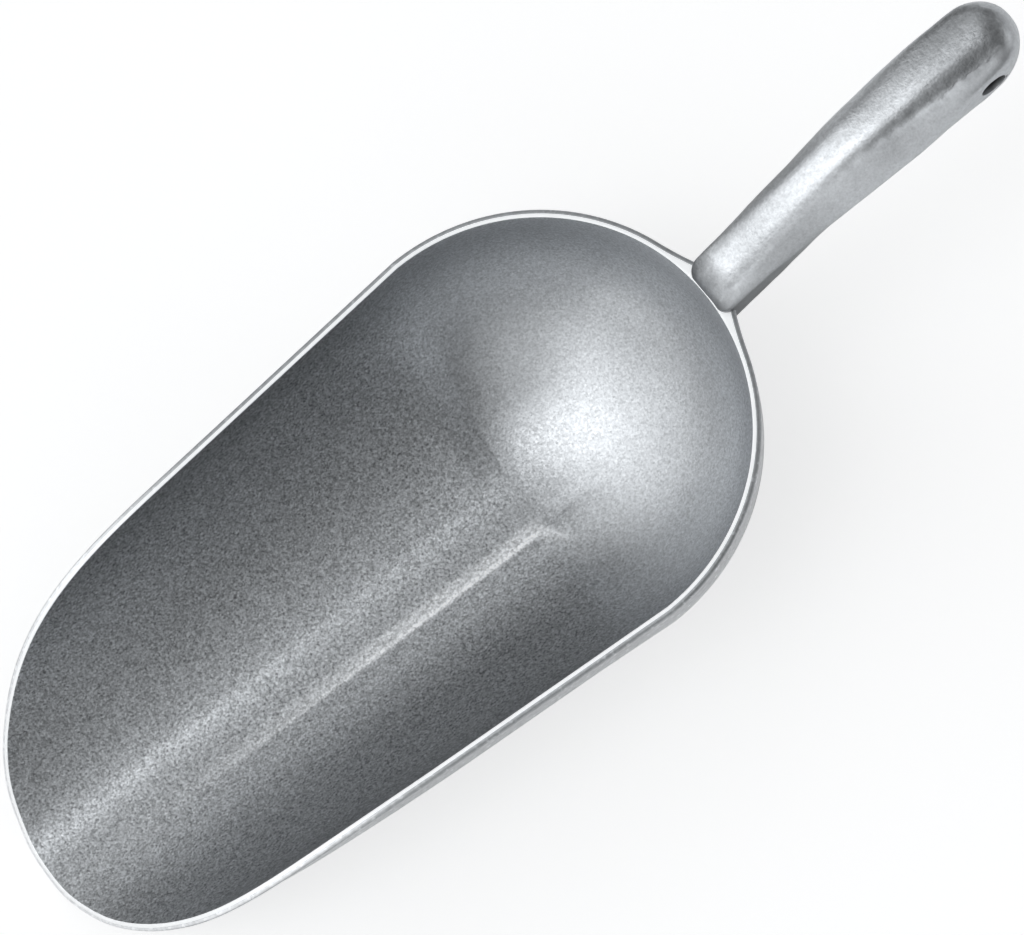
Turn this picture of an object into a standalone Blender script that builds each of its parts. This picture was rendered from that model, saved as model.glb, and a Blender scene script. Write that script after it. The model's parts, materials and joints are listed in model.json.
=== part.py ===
"""One-piece cast aluminium ice scoop.

Metres, +Z up. The scoop rests on the flat strip under its floor. The handle points along +X and
the lip along -X. The origin is on the strip's underside, on the centre line, BACK_X toward the
lip from the centre of the round back.
The real scoop is a single casting, so the seam between bowl and handle is a modelling split.

Shape functions measure x from the round back's centre and z from the inside floor; place()
turns that into world coordinates.
"""

import math

import bmesh
import bpy

MM = 0.001

# ---- bowl dimensions -----------------------------------------------------------------------
BACK_X = 0.080  # world x of the round back's centre
HALF_WIDTH = 0.0620  # inside half width at the round back
TAPER = 0.0716  # half width lost per metre toward the lip
WALL = 0.0024  # cast wall thickness
LIP = 0.1818  # round back's centre to the lip, inside
LIP_BOW = 0.0022  # how far the broad lip stands forward of a plain slanting cut
LIP_BROAD = (0.022, 0.046)  # distances from the spine over which that fades
FLOOR_HALF = 0.0095  # half width of the flat floor strip
FLOOR_TAPER = 0.011  # strip half width lost per metre toward the lip
FLOOR_END = -0.004  # x of the centre of the strip's round end
WALL_TURN = 0.0529  # height where the wall becomes upright
WALL_START = math.radians(19.5)  # where on its ellipse the wall leaves the floor
RIM_HEIGHT = 0.0598  # rim height at the round back's centre
RIM_SLOPE = 0.0865
CUT_START = 0.0862  # distance toward the lip where the rim starts its fall
CUT_POWER = 2.634

# Mesh rows and rings of the bowl
LIP_FAN = 0.022  # length of the fan of faces at the lip
LIP_STEPS = 8
LIP_CROWDING = 1.6  # above 1 draws the fan's rows toward the lip
TROUGH_STEPS = 11
BACK_STEPS = 10
WALL_RINGS = 9
FLOOR_RINGS = [0.0, 0.7, 1.0]  # shares of the floor strip's half width

# ---- web dimensions ------------------------------------------------------------------------
WEB_THICK = 0.0040
WEB_BELOW_RIM = 0.0003
WEB_WALL_SHARE = 0.45  # how deep into the wall's thickness the web starts
WEB_ANGLES = (16.0, 8.0, 0.0, -8.0, -16.0)  # degrees round the back wall
WEB_STEP = 0.0012  # the hollow edge starts this far behind the arc's end
WEB_END = (0.0667, -0.0078)  # x, y where the -Y hollow edge meets the neck
WEB_HOLLOW = 2.2  # above 1 makes the edge hollow
WEB_EDGE_STEPS = 5

# ---- handle dimensions ---------------------------------------------------------------------
SEAM_X = 0.0700  # the bowl casting ends here
SEAM_GAP = 0.0003
ROOT_X = 0.0626  # first section of the neck, inside the back wall
HANDLE_END = 0.1699
CAP_RADIUS = 0.0120
CAP_START = HANDLE_END - CAP_RADIUS
HOLE_X = 0.1550
HOLE_RADIUS = 0.0040
HOLE_DROP = 0.0015  # hole's centre under the handle's widest line
DRILL_LENGTH = 0.060

NECK_STATIONS = [ROOT_X, 0.0635, 0.0648, 0.0668, SEAM_X]
GRIP_STATIONS = [
    SEAM_X + SEAM_GAP, 0.0735, 0.077, 0.081, 0.086, 0.092,
    0.099, 0.107, 0.116, 0.126, 0.136, 0.146,
]
CAP_STEPS = 6
CAP_DIVISOR = 6.6  # steps to the very tip; more than CAP_STEPS, so the end stays blunt

# Handle section, all in millimetres. Heights are over the widest line.
LINE_START = 68.0  # x where the widest line has the height and slope below
LINE_HEIGHT = 70.5
LINE_SLOPE = 0.43
LINE_SAG = 0.00125  # falls by this times the squared distance
CROWN_SPREAD = 15.0  # crown's rise is its half width squared over this
SIDE_RISE = 4.7  # the side's upper edge stands this much higher round the hole
SIDE_RISE_SPAN = (126.0, 152.0)
NOSE_END = 70.2  # x where the nose's rounding down to the rim ends
NOSE_LENGTH = 7.9
NOSE_CORNER = 4.2  # corner radius of the nose, seen from above
NOSE_LEAD = 0.4  # the corner starts this far ahead of the root

# Each table holds (x, value).
HALF_BREADTH = (
    (62, 8.75), (76, 8.95), (87, 9.6), (98, 10.2), (109, 11.1), (119, 11.8),
    (130, 12.2), (141, 11.8), (150, 11.25), (157, 11.15),
)
EDGE_HEIGHT = ((66, 1.4), (73, 2.0), (92, 6.3), (112, 9.0), (133, 7.8), (155, 6.6))
CROWN_HALF = ((66, 4.6), (92, 4.0), (112, 3.6), (133, 3.7), (155, 4.4))
SIDE_DROP = ((66, 13.0), (80, 9.5), (88, 5.6), (98, 3.4), (122, 2.8), (138, 5.4), (152, 9.0))
KEEL_DEPTH = ((66, 4.2), (96, 5.0), (122, 6.2), (138, 5.0), (152, 3.8))
FLANK_FULLNESS = ((125, 1.25), (152, 1.7))  # exponent: how round the flank is
SIDE_TUCK = ((66, 0.25), (90, 0.3), (110, 0.9), (138, 0.9), (152, 0.35))

ALUMINIUM = (0.60, 0.61, 0.62, 1.0)
SHARP_ANGLE = math.radians(40)

START_SIN, START_COS = math.sin(WALL_START), math.cos(WALL_START)


# ---- curves --------------------------------------------------------------------------------
def clamp(value):
    return min(1.0, max(0.0, value))


def smooth(x, start, end):
    t = clamp((x - start) / (end - start))
    return t * t * (3.0 - 2.0 * t)


def along(x, table):
    """Smooth curve through (x, value) pairs, level beyond both ends."""
    if x <= table[0][0]:
        return table[0][1]
    if x >= table[-1][0]:
        return table[-1][1]
    k = max(i for i in range(len(table) - 1) if table[i][0] <= x)

    def slope(i):
        before, after = table[max(i - 1, 0)], table[min(i + 1, len(table) - 1)]
        return (after[1] - before[1]) / (after[0] - before[0])

    (start, start_value), (end, end_value) = table[k], table[k + 1]
    span = end - start
    t = (x - start) / span
    return (
        start_value * (1 + 2 * t) * (1 - t) ** 2
        + slope(k) * span * t * (1 - t) ** 2
        + end_value * t * t * (3 - 2 * t)
        - slope(k + 1) * span * t * t * (1 - t)
    )


def place(x, y, z):
    """Shape coordinates to world coordinates."""
    return (x + BACK_X, y, z + WALL)


# ---- bowl shape ----------------------------------------------------------------------------
def half_width(x):
    return HALF_WIDTH + TAPER * min(x, 0.0)


def floor_half(x):
    return FLOOR_HALF + FLOOR_TAPER * min(x, 0.0)


def rim_line(x):
    """Straight slope of the rim, before the fall to the lip."""
    return RIM_HEIGHT + RIM_SLOPE * x


def rim_height(x):
    fall = clamp((-x - CUT_START) / (LIP - CUT_START))
    return rim_line(x) - rim_line(-LIP) * fall**CUT_POWER


def wall_point(climb, start, reach):
    """Distance from the spine and height, for climb 0 at the floor, 1 at the turn, then upright."""
    if climb >= 1.0:
        return reach, WALL_TURN * climb
    angle = WALL_START + (math.pi / 2 - WALL_START) * climb
    span = (reach - start) / (1.0 - START_SIN)
    distance = start + span * (math.sin(angle) - START_SIN)
    return distance, WALL_TURN / START_COS * (START_COS - math.cos(angle))


def rim_climb(x):
    """The climb at which the wall reaches the rim's height at x."""
    height = rim_height(x)
    if height >= WALL_TURN:
        return height / WALL_TURN
    angle = math.acos(START_COS - height * START_COS / WALL_TURN)
    return max(0.0, (angle - WALL_START) / (math.pi / 2 - WALL_START))


def trough_point(x, ring):
    """ring runs 0 at the spine, 1 at the floor strip's edge, then up the wall."""
    if ring <= 1.0:
        return (x, ring * floor_half(max(x, -LIP)), 0.0)
    y, z = wall_point(ring - 1.0, floor_half(x), half_width(x))
    return (x, y, z)


def ring_steps(x):
    """Ring positions from the spine to the rim: the floor, then even steps up the wall."""
    top = rim_climb(x)
    return FLOOR_RINGS + [1.0 + top * k / WALL_RINGS for k in range(1, WALL_RINGS + 1)]


def lip_rows(fan_x):
    """Rows fanning from the spine at fan_x to the lip."""
    rings = ring_steps(fan_x)
    shares = [ring / rings[-1] for ring in rings]
    rim = [(-LIP - LIP_BOW, ring) for ring in (0.0, 0.5, 1.0)]
    for k in range(1, LIP_STEPS):
        x = -LIP + LIP_FAN * (k / LIP_STEPS) ** LIP_CROWDING
        ring = 1.0 + rim_climb(x)
        y = trough_point(x, ring)[1]
        rim.append((x - LIP_BOW * (1.0 - smooth(y, *LIP_BROAD)), ring))
    return [
        [trough_point(fan_x + (x - fan_x) * share, ring * share) for share in shares]
        for x, ring in rim
    ]


def trough_rows(start_x):
    """Rows straight across the trough, from start_x to the centre of the strip's round end."""
    rows = []
    for k in range(TROUGH_STEPS + 1):
        x = start_x + (FLOOR_END - start_x) * k / TROUGH_STEPS
        rows.append([trough_point(x, ring) for ring in ring_steps(x)])
    return rows


def back_rows():
    """Rows fanning from the strip's round end to the half circle of the back."""
    rows = []
    start = floor_half(FLOOR_END)
    for k in range(BACK_STEPS + 1):
        angle = math.pi / 2 * k / BACK_STEPS
        end_x = HALF_WIDTH * math.sin(angle)
        dx, dy = end_x - FLOOR_END, HALF_WIDTH * math.cos(angle)
        reach = math.hypot(dx, dy)
        row = []
        for ring in ring_steps(end_x):
            if ring <= 1.0:
                distance, z = ring * start, 0.0
            else:
                distance, z = wall_point(ring - 1.0, start, reach)
            row.append((FLOOR_END + dx / reach * distance, dy / reach * distance, z))
        rows.append(row)
    return rows


# ---- handle shape, x in millimetres --------------------------------------------------------
def widest_line(x):
    """Height of the handle's widest line over the inside floor."""
    run = x - LINE_START
    return LINE_HEIGHT + LINE_SLOPE * run - LINE_SAG * run**2


def half_section(x, breadth):
    """Outline (y, z) on the +Y side, from the crown down the flank and side to the keel."""
    edge = along(x, EDGE_HEIGHT)
    crown_half = along(x, CROWN_HALF)
    crown = crown_half * crown_half / CROWN_SPREAD
    rise = SIDE_RISE * smooth(x, *SIDE_RISE_SPAN)
    drop = along(x, SIDE_DROP)
    keel = along(x, KEEL_DEPTH)
    fullness = along(x, FLANK_FULLNESS)
    tuck = along(x, SIDE_TUCK)
    half = [(0.0, edge + crown), (crown_half * 0.5, edge + crown * 0.75), (crown_half, edge)]
    for t in (0.33, 0.66, 1.0):
        y = crown_half + (breadth - crown_half) * (1.0 - (1.0 - t) ** fullness)
        half.append((y, rise + (edge - rise) * (1.0 - t**fullness)))
    half += [(breadth - tuck * 0.15, -drop * 0.5), (breadth - tuck, -drop)]
    for degrees in (30.0, 60.0):
        angle = math.radians(degrees)
        half.append(((breadth - tuck) * math.cos(angle), -drop - keel * math.sin(angle)))
    half.append((0.0, -drop - keel))
    return half


def handle_section(station):
    """Closed outline (y, z) of the handle; station and result in metres."""
    x = station / MM
    breadth = along(x, HALF_BREADTH)
    half = half_section(x, breadth)
    outline = half + [(-y, z) for y, z in reversed(half[1:-1])]
    middle = (half[0][1] + half[-1][1]) / 2.0
    level = widest_line(x)
    rim = rim_line(station) / MM

    # The round end closes in both ways; the lower limits keep it from shrinking to a point.
    cap = max(0.0, (station - CAP_START) / CAP_RADIUS)
    cap_y = math.sqrt(max(0.06, 1.0 - cap**2))
    cap_z = math.sqrt(max(0.10, 1.0 - cap**2.5))

    nose = math.sqrt(1.0 - (max(0.0, NOSE_END - x) / NOSE_LENGTH) ** 2)
    into = max(0.0, NOSE_CORNER - (x - ROOT_X / MM + NOSE_LEAD))
    plan = (breadth - NOSE_CORNER + math.sqrt(NOSE_CORNER**2 - into**2)) / breadth
    points = []
    for y, z in outline:
        z = level + middle + (z - middle) * cap_z
        if nose < 1.0 and z > rim:  # the crown comes down to the rim as a round nose
            z = rim + (z - rim) * nose
        points.append((y * cap_y * plan * MM, z * MM))
    return points


# ---- Blender helpers -----------------------------------------------------------------------
def collection(name):
    coll = bpy.data.collections.new(name)
    bpy.context.scene.collection.children.link(coll)
    return coll


def metal(name, roughness):
    mat = bpy.data.materials.new(name)
    mat.use_nodes = True
    shader = mat.node_tree.nodes["Principled BSDF"]
    shader.inputs["Base Color"].default_value = ALUMINIUM
    shader.inputs["Metallic"].default_value = 1.0
    shader.inputs["Roughness"].default_value = roughness
    mat.diffuse_color = ALUMINIUM
    return mat


def add_object(name, bm, coll, mat=None):
    mesh = bpy.data.meshes.new(name)
    bm.to_mesh(mesh)
    bm.free()
    obj = bpy.data.objects.new(name, mesh)
    coll.objects.link(obj)
    if mat:
        mesh.materials.append(mat)
    return obj


def boolean(obj, helper, operation):
    """Join or cut obj with a helper that is itself left out of renders."""
    helper.hide_render = True
    helper.display_type = "WIRE"
    mod = obj.modifiers.new(f"{operation.lower()} {helper.name}", "BOOLEAN")
    mod.operation = operation
    mod.object = helper
    mod.solver = "EXACT"


def round_shading(obj):
    obj.data.shade_smooth()
    obj.data.set_sharp_from_angle(angle=SHARP_ANGLE)


# ---- meshes --------------------------------------------------------------------------------
def half_sheet():
    """Inside surface of the bowl's +Y half, normals up."""
    fan_x = -LIP + LIP_FAN
    rows = lip_rows(fan_x) + trough_rows(fan_x) + back_rows()
    bm = bmesh.new()
    grid = [[bm.verts.new(place(*point)) for point in row] for row in rows]
    for a, b in zip(grid, grid[1:]):
        for k in range(len(a) - 1):
            bm.faces.new((a[k], b[k], b[k + 1], a[k + 1]))
    # The fans' rows share their points on the spine.
    bmesh.ops.remove_doubles(bm, verts=bm.verts, dist=1e-6)
    bmesh.ops.recalc_face_normals(bm, faces=bm.faces)
    if sum(face.normal.z for face in bm.faces) < 0.0:
        bmesh.ops.reverse_faces(bm, faces=bm.faces)
    return bm


def loft(stations):
    """Closed solid through the handle's sections at the stations."""
    bm = bmesh.new()
    loops = []
    for x in stations:
        verts = [bm.verts.new(place(x, y, z)) for y, z in handle_section(x)]
        loops.append([bm.edges.new((verts[i], verts[i - 1])) for i in range(len(verts))])
    for first, second in zip(loops, loops[1:]):
        bmesh.ops.bridge_loops(bm, edges=first + second)
    for end in (loops[0], loops[-1]):
        bmesh.ops.contextual_create(bm, geom=end)
    bmesh.ops.recalc_face_normals(bm, faces=bm.faces)
    return bm


def web_plate():
    """Plate between the back wall and the root, with hollow-curved outer edges."""
    radius = HALF_WIDTH + WALL * WEB_WALL_SHARE
    angles = [math.radians(degrees) for degrees in WEB_ANGLES]
    arc = [(radius * math.cos(a), radius * math.sin(a)) for a in angles]
    start_x, start_y = arc[-1][0] + WEB_STEP, arc[-1][1]
    end_x, end_y = WEB_END
    edge = []
    for k in range(WEB_EDGE_STEPS + 1):
        t = k / WEB_EDGE_STEPS
        edge.append((start_x + (end_x - start_x) * t**WEB_HOLLOW, start_y + (end_y - start_y) * t))
    outline = arc + edge + [(x, -y) for x, y in reversed(edge)]

    bm = bmesh.new()
    verts = [bm.verts.new(place(x, y, rim_line(x) - WEB_BELOW_RIM)) for x, y in outline]
    top = bm.faces.new(verts)
    made = bmesh.ops.extrude_face_region(bm, geom=[top])
    for item in made["geom"]:
        if isinstance(item, bmesh.types.BMVert):
            item.co.z -= WEB_THICK
    bmesh.ops.recalc_face_normals(bm, faces=bm.faces)
    return bm


# ---- parts ---------------------------------------------------------------------------------
def build_bowl(coll, cutters, mat):
    bowl = add_object("bowl", half_sheet(), coll, mat)
    mirror = bowl.modifiers.new("other half", "MIRROR")
    mirror.use_axis = (False, True, False)
    mirror.merge_threshold = 1e-5
    solid = bowl.modifiers.new("wall", "SOLIDIFY")
    solid.thickness = WALL
    solid.offset = -1.0
    solid.use_even_offset = True
    solid.use_rim = True

    # The root of the handle and the web on each side of it are cast with the bowl.
    boolean(bowl, add_object("neck", loft(NECK_STATIONS), cutters), "UNION")
    boolean(bowl, add_object("web", web_plate(), cutters), "UNION")
    round_shading(bowl)


def add_drill(cutters):
    """Cylinder along Y for the hanging hole."""
    bpy.ops.mesh.primitive_cylinder_add(
        vertices=32,
        radius=HOLE_RADIUS,
        depth=DRILL_LENGTH,
        location=place(HOLE_X, 0.0, widest_line(HOLE_X / MM) * MM - HOLE_DROP),
        rotation=(math.pi / 2, 0.0, 0.0),
    )
    drill = bpy.context.object
    drill.name = "hanging_hole"
    for owner in list(drill.users_collection):
        owner.objects.unlink(drill)
    cutters.objects.link(drill)
    return drill


def build_handle(coll, cutters, mat):
    cap_stations = [
        CAP_START + CAP_RADIUS * math.sin(math.pi / 2 * k / CAP_DIVISOR)
        for k in range(CAP_STEPS + 1)
    ]
    handle = add_object("handle", loft(GRIP_STATIONS + cap_stations), coll, mat)
    boolean(handle, add_drill(cutters), "DIFFERENCE")
    round_shading(handle)


for old in list(bpy.data.objects):
    bpy.data.objects.remove(old, do_unlink=True)
scoop = collection("ice_scoop")
tools = collection("cutters")
build_bowl(scoop, tools, metal("cast_aluminium_bowl", roughness=0.42))
build_handle(scoop, tools, metal("cast_aluminium_handle", roughness=0.38))
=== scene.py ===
"""One-piece cast aluminium ice scoop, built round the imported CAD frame.

The scoop rests on z = 0 with its length along X: the lip points to -X, the handle to +X, and
y = 0 is its middle. Shapes are worked out in millimetres, measured from the centre of the
bowl's round back at the level of the inside floor, and turned into metres by world().
"""

import json
import math

import bmesh
import bpy
import numpy as np
from mathutils import Matrix, Vector, noise

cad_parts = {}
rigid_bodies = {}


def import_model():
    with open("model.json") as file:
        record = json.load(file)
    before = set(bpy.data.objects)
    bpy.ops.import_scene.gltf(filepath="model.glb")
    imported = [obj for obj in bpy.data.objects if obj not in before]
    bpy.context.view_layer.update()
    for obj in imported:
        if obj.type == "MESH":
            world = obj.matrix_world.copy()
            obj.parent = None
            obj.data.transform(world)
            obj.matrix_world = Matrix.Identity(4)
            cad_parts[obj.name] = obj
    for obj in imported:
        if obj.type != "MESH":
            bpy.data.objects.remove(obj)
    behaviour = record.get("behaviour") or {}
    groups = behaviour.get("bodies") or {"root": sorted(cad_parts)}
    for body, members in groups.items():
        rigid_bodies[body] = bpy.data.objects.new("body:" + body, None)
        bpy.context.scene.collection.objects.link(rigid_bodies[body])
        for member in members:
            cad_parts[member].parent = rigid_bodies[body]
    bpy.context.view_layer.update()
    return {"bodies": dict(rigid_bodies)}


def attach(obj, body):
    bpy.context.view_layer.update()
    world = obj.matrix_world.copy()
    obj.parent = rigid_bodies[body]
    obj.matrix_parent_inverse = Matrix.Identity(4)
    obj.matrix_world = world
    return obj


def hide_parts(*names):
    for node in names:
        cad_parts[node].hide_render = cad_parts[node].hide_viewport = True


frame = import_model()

# ---- bowl dimensions, millimetres and radians unless noted -----------------------------------
BACK_X = 80.0  # centre of the round back in the frame
HALF_WIDTH = 62.0
TAPER = 0.0716  # half width lost per mm towards the lip
WALL = 2.4  # thickness of the casting
LIP = 181.8
LIP_BOW = 2.2  # how far the middle of the lip stands forward
LIP_BROAD = (22.0, 46.0)  # the bow fades out between these distances from the middle
POLE = -LIP + 22.0  # where the rays of the lip start on the floor
FLOOR_HALF = 9.5  # half width of the floor strip
FLOOR_TAPER = 0.011
FLOOR_END = -4.0  # where the trough meets the dish at the back
FLOOR_RISE = 5.0  # degrees, slope at the edge of the floor strip
FLOOR_EDGE = 9.3  # section points are closest together round this length
WALL_TURN = 52.9  # height where the wall turns upright
WALL_START = math.radians(19.5)  # slope of the wall beside the floor strip
SIN_START, COS_START = math.sin(WALL_START), math.cos(WALL_START)
WALL_LINE = 1.2  # degrees, strength of the faint line along the wall
WALL_LINE_Z = 13.5
WALL_LINE_WIDTH = 0.45
DISH_WALL = 0.55  # how far the back takes on the flatter bottom
DISH_SHIFT = 6.0  # the inside of the dish is moved this far towards the lip
DISH_KNEE = 34.0  # the dish's bottom is rounded up to this length from the spine
FLAT_SHARE = (0.0, 0.44, 0.79, 0.86)  # share of the reach, and the
FLAT_HEADING = (0.0, 19.0, 31.0, 35.0)  # slope there of the flatter bottom, degrees
RIM_HEIGHT = 59.8
RIM_SLOPE = 0.0865
CUT_START = 86.2  # the rim starts to sweep down to the lip here
CUT_POWER = 2.634

RIM_BEVEL = 0.22  # small bevel at the inside of the rim
LAND = 1.05  # ground land on top of the rim
EDGE_ROUND = 1.1  # rounded outer edge
EDGE_SIDE = 1.9  # straight side below the rounded edge
WEB_DEPTH = 9.0  # how far the rim's outside reaches down the wall
WEB_WIDTH = 2.5
WEB_Y = (7.0, 21.0)
BEVEL_POINTS, LAND_POINTS, RIM_POINTS = 4, 5, 44
EDGE_FIRST = BEVEL_POINTS - 1 + LAND_POINTS - 1  # first rim point past the land

TWIST = math.radians(1.2)
TWIST_X = (70.0, 175.0)
LEAN = 0.058

# ---- handle dimensions, millimetres ----------------------------------------------------------
HANDLE_END = 169.9
CAP_RADIUS = 12.0
CAP_X = HANDLE_END - CAP_RADIUS
NOSE_X = 62.2  # blunt front end of the handle, at the bowl
NOSE_ROUND = 4.2
HANDLE_SOFT = 0.55  # rounding of the section's corners
SECTION_POINTS = 168
HOLE_X = 155.0
HOLE_RADIUS = 4.0
HOLE_RISE = -1.5  # from the handle's level

# ---- painted glow and floor finish -----------------------------------------------------------
FLOOR_LIFT = 0.65  # the floor looks this much paler to the camera than it lights the object,
FLOOR_DIM = 0.38  # and its shadows this much weaker
PAINTED_GLINT_GLOW = 0.30  # painted highlights that glow: the line along the crease and the outside wall, a painted reflection of the pale floor at a glancing angle
GLANCE_GLOW = 0.26  # the outside wall catches the pale floor at a glancing angle
LAND_GLOW = 0.24  # painted light: the ground edge glows brighter than anything the soft panels give it
CORNER_GLOW = 0.52  # painted highlight glowing on the rounded corner at the lip


# ---- helpers ---------------------------------------------------------------------------------
def world(points):
    """Shape millimetres to frame metres."""
    return (np.asarray(points, float) + np.array([BACK_X, 0.0, WALL])) * 0.001


def shape_mm(co):
    """Frame metres to shape millimetres."""
    return co.x * 1000.0 - BACK_X, co.y * 1000.0, co.z * 1000.0 - WALL


def ease(x, a, b):
    """0 up to a, 1 from b on, smooth between."""
    t = np.clip((np.asarray(x, float) - a) / (b - a), 0.0, 1.0)
    return t * t * (3.0 - 2.0 * t)


def fall(x, a, b):
    return 1.0 - ease(x, a, b)


def bell(distance, width):
    return np.exp(-((distance / width) ** 2))


def look_up(x, table):
    """Straight-line reading of a table of (x, value)."""
    return np.interp(x, *zip(*table))


def gaussian(reach, sigma):
    """Kernel of 2 * reach + 1 samples; sigma is in samples."""
    kernel = np.exp(-0.5 * (np.arange(-reach, reach + 1) / sigma) ** 2)
    return kernel / kernel.sum()


def unit(vector):
    return vector / np.linalg.norm(vector)


def arc_lengths(points):
    return np.concatenate([[0.0], np.cumsum(np.linalg.norm(np.diff(points, axis=0), axis=1))])


def resample(points, shares):
    """Points at the given shares of a polyline's length."""
    lengths = arc_lengths(points)
    wanted = shares * lengths[-1]
    return np.stack([np.interp(wanted, lengths, column) for column in points.T], axis=-1)


def line(start, end, count):
    return resample(np.array([start, end]), np.linspace(0.0, 1.0, count))


def bezier(p0, p1, p2, count):
    t = np.linspace(0.0, 1.0, count)[:, None]
    return (1 - t) ** 2 * p0 + 2 * t * (1 - t) * p1 + t * t * p2


def first_crossing(positions, above):
    """Position at which above first turns positive."""
    k = int(np.argmax(above > 0.0))
    t = above[k - 1] / (above[k - 1] - above[k])
    return positions[k - 1] + t * (positions[k] - positions[k - 1])


def finish_object(name, bm):
    mesh = bpy.data.meshes.new(name)
    bm.to_mesh(mesh)
    bm.free()
    obj = bpy.data.objects.new(name, mesh)
    bpy.context.scene.collection.objects.link(obj)
    return obj


def bridge(bm, loops):
    """Faces between neighbouring closed loops."""
    for a, b in zip(loops, loops[1:]):
        for k in range(len(a)):
            bm.faces.new((a[k - 1], a[k], b[k], b[k - 1]))


# ---- the bowl's sections ---------------------------------------------------------------------
STEP = 0.1
REACH_S = np.arange(0.0, 130.0, STEP)  # lengths along a section from the spine


def cut_height(x, y):
    """Height of the ground rim surface; the broad lip stands a little forward."""
    x = x + LIP_BOW * fall(np.abs(y), *LIP_BROAD)
    u = np.maximum(0.0, (-x - CUT_START) / (LIP - CUT_START))
    return RIM_HEIGHT + RIM_SLOPE * x - (RIM_HEIGHT - RIM_SLOPE * LIP) * u**CUT_POWER


def blur(values, sigma):
    n = int(4 * sigma / STEP) + 1
    padded = np.concatenate([2 * values[0] - values[n:0:-1], values, np.full(n, values[-1])])
    return np.convolve(padded, gaussian(n, sigma / STEP), mode="valid")


def section(start, reach, crease, soft, dish, wall=0.0, power=1.2):
    """Inside profile: distance from the spine, height and heading along its length.

    start is the half width of the floor strip and reach that of the bowl. crease scales the
    faint line on the wall, soft is the fillet, dish blends to a bottom rounded by power, wall
    to a flatter bottom with a tighter turn up the wall."""
    angle = np.linspace(WALL_START, math.pi / 2, 600)
    span = (reach - start) / (1.0 - SIN_START)
    rise = WALL_TURN / COS_START
    y = np.concatenate([[0.0], start + span * (np.sin(angle) - SIN_START), [reach]])
    z = np.concatenate([[0.0], rise * (COS_START - np.cos(angle)), [WALL_TURN + 60.0]])
    s = arc_lengths(np.stack([y, z], axis=-1))
    across, up = np.interp(REACH_S, s, y), np.interp(REACH_S, s, z)
    heading = np.arctan2(np.gradient(up), np.gradient(across))

    # The floor strip curves up gently to its edge.
    floor_slope = math.radians(FLOOR_RISE) * np.clip(REACH_S / start, 0.0, 1.0) ** 1.3
    first = heading[int((start + 1.5) / STEP)]
    heading = np.where(REACH_S < start, np.minimum(floor_slope, first), heading)

    # The flatter bottom, then an arc up to the upright wall.
    share = np.clip(across / reach, 0.0, 1.0)
    knee = FLAT_SHARE[-1]
    turn = np.sin(math.radians(FLAT_HEADING[-1]))
    arc = np.arcsin(np.clip(turn + (share - knee) / (1.0 - knee) * (1.0 - turn), -1.0, 1.0))
    bottom = np.radians(np.interp(share, FLAT_SHARE, FLAT_HEADING))
    flat = np.where(share > knee, arc, bottom)
    heading = heading + (flat - heading) * wall * ease(REACH_S, 20.0, 34.0)

    # The rounder bottom of the dish.
    at_knee = np.interp(DISH_KNEE, REACH_S, heading)
    round_first = at_knee * (REACH_S / DISH_KNEE) ** power
    rounded = np.where(REACH_S < DISH_KNEE, round_first, heading)
    heading = blur(heading * (1.0 - dish) + rounded * dish, soft)
    heading[0] = 0.0

    # The faint line along the wall.
    line_s = np.interp(WALL_LINE_Z, np.cumsum(np.sin(heading)) * STEP, REACH_S)
    bump = np.exp(-0.5 * ((REACH_S - line_s) / WALL_LINE_WIDTH) ** 2)
    change = np.gradient(bump) / STEP * WALL_LINE_WIDTH
    heading = heading + math.radians(WALL_LINE) * crease * change
    ys = np.concatenate([[0.0], np.cumsum(np.cos(heading[1:]) * STEP)])
    zs = np.concatenate([[0.0], np.cumsum(np.sin(heading[1:]) * STEP)])

    # Scale so that the wall stands where it should and turns upright at the right height.
    ys *= reach / ys[-1]
    turned = np.searchsorted(heading, math.pi / 2 - 0.004)
    scale = np.interp(REACH_S[turned], s, z) / zs[turned]
    zs *= 1.0 + (scale - 1.0) * (1.0 - wall)
    heading = np.arctan2(np.gradient(zs), np.gradient(ys))
    heading[0] = 0.0
    return ys, zs, heading


def trough_section(x):
    ahead = min(x, 0.0)
    front = ease(-x, 95.0, 165.0)
    dish = ease(x, -14.0, -2.0)
    return section(
        start=FLOOR_HALF + FLOOR_TAPER * ahead,
        reach=HALF_WIDTH + TAPER * ahead,
        crease=(1.0 - front) * ease(-x, 24.0, 36.0),
        soft=0.75 + 2.6 * front + 1.2 * dish,
        dish=dish,
    )


def back_section(reach, angle):
    """angle is 0 across the bowl and 90 degrees straight back."""
    return section(
        start=FLOOR_HALF + FLOOR_TAPER * FLOOR_END,
        reach=reach,
        crease=0.0,
        soft=1.95,
        dish=1.0,
        wall=DISH_WALL * ease(angle, 5.0, 60.0),
        power=1.2 - 0.4 * ease(angle, 10.0, 80.0),
    )


def offset_profile(profile, offset):
    """The profile's distances and heights, moved outwards by offset."""
    y, z, heading = profile
    return y + offset * np.sin(heading), z - offset * np.cos(heading)


def trim_length(x, y, z):
    """Length at which a profile through these points meets the ground rim surface."""
    stride = 4
    return first_crossing(REACH_S[::stride], (z - cut_height(x, y))[::stride])


def spread(total):
    """Lengths from the spine to total: close together round the crease."""
    near, far = FLOOR_EDGE - 2.6, FLOOR_EDGE + 3.0
    floor = np.linspace(0.0, near, 8)[:-1]
    crease = np.linspace(near, far, 15)[:-1]
    wall = np.linspace(0.0, 1.0, 62) * (total - far) + far
    return np.concatenate([floor, crease, wall])


# ---- the bowl's rows of points ---------------------------------------------------------------
# A side is one face of the wall in one section: its points from the spine to short of the
# cut, its edge at the cut, and the direction down the wall from there.


def wall_side(at, cut, short):
    """Side from at, which gives the point at a length, and the length of the cut."""
    edge = at(cut)
    return at(spread(cut - short)), edge, unit(at(cut - 0.5) - edge)


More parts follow.
